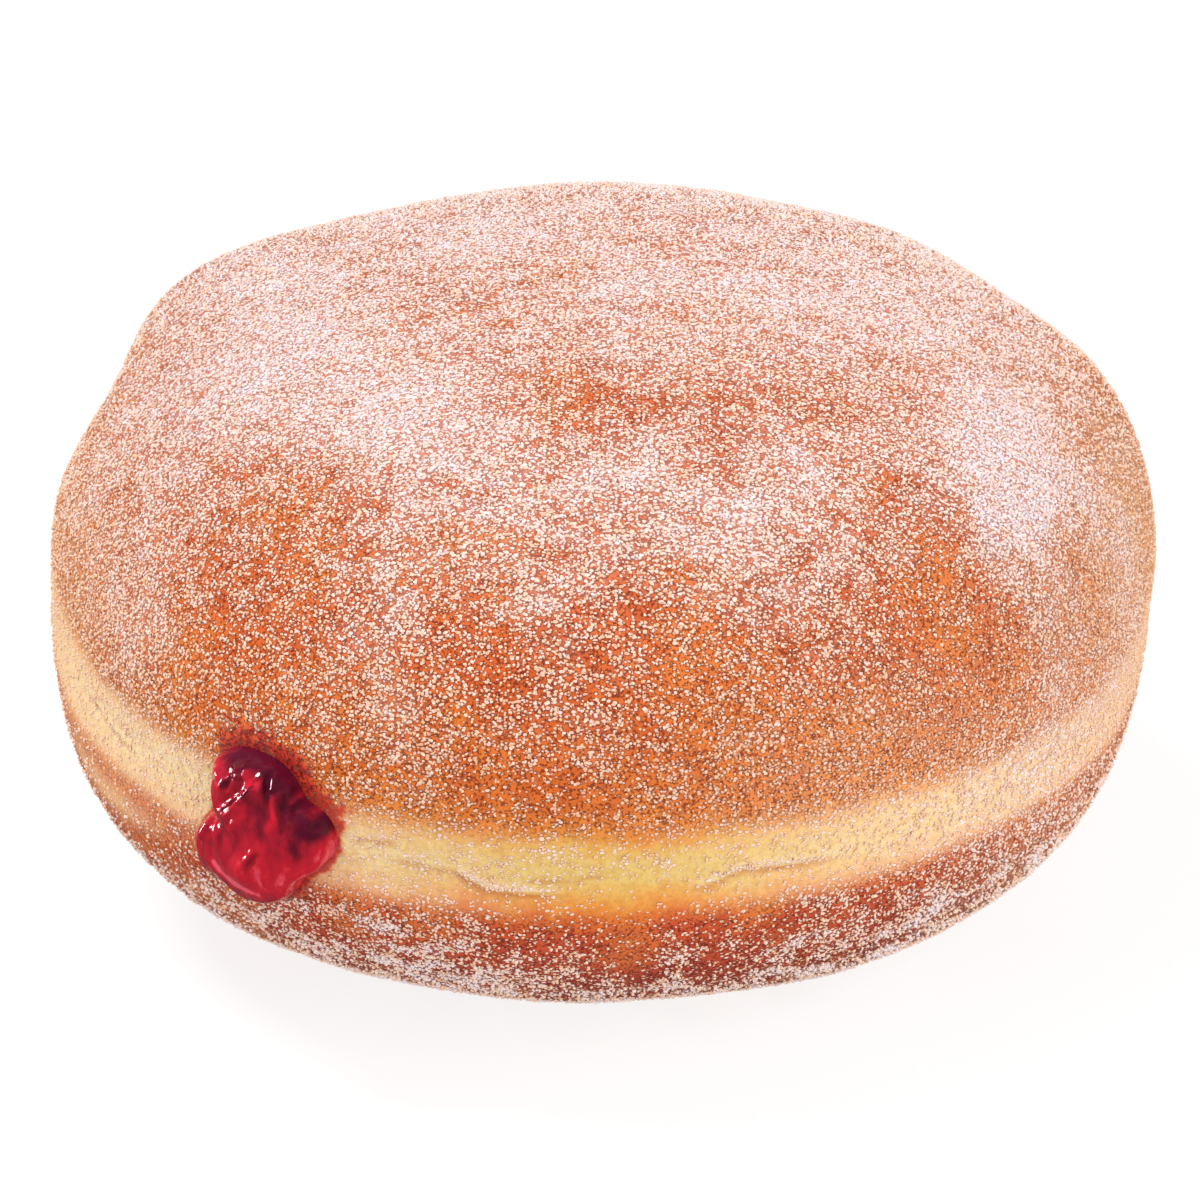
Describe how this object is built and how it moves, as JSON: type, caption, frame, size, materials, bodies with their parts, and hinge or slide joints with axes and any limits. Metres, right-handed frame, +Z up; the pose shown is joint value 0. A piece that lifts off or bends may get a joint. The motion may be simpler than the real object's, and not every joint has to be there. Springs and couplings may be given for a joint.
{
  "type": "jelly filled doughnut",
  "caption": "Round yeast doughnut rolled in sugar, with a pale band round its side and red jelly bulging from the filling hole.",
  "frame": {"origin": "on the ground under the middle of the bun", "axes": "+Z up through the crown, -Y to the front, with the filling hole at the front left"},
  "size_m": [0.0904, 0.0892, 0.0517],
  "materials": {
    "fried_crust": "golden brown fried dough with a pale band, matte and lightly sugared",
    "red_jelly": "wet, glossy, translucent dark red jelly",
    "white_sugar": "white granulated sugar"
  },
  "bodies": {
    "root": {"dough": "fried_crust", "jelly": "red_jelly"}
  },
  "joints": []
}
